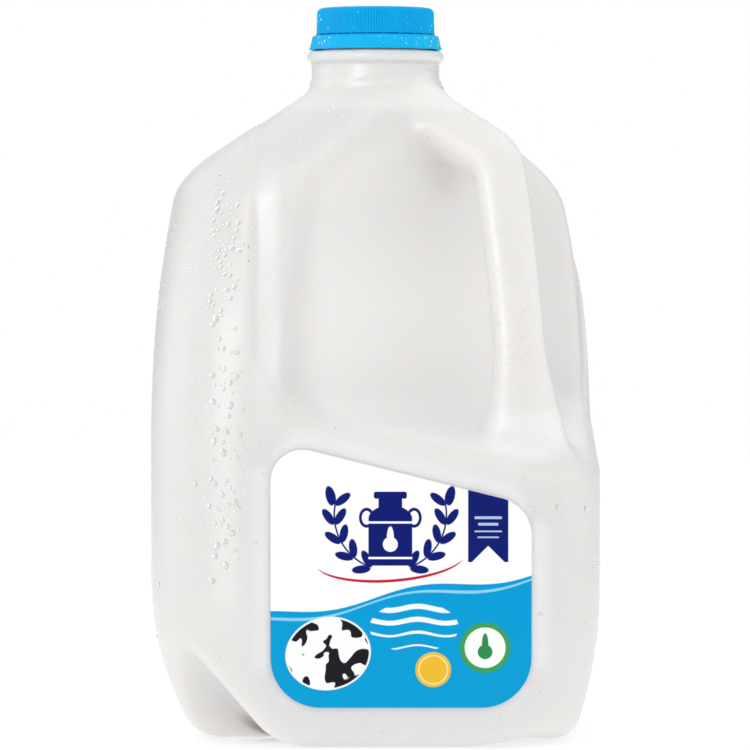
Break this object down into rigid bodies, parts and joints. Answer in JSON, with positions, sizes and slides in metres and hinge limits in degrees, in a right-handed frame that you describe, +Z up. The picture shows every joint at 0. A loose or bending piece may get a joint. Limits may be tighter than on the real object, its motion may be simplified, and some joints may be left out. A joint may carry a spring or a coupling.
{
  "type": "milk jug",
  "caption": "Full, shut, blow-moulded jug with a square body, a corner hand grip, a turned neck, a snap-band screw cap and a thin label sheet.",
  "frame": {"origin": "on the jug's axis, at the plane its feet rest on", "axes": "+Z up along the neck's axis; -Y out of the labelled side; the grip is on the corner between +X and -Y"},
  "size_m": [0.1542, 0.1549, 0.254],
  "materials": {
    "natural_hdpe": "satin, milky natural HDPE",
    "sky_blue_cap_plastic": "semi-gloss moulded plastic",
    "printed_film": "printed film, satin"
  },
  "bodies": {
    "root": {"jug": "natural_hdpe", "screw_cap": "sky_blue_cap_plastic", "front_label": "printed_film"}
  },
  "joints": []
}
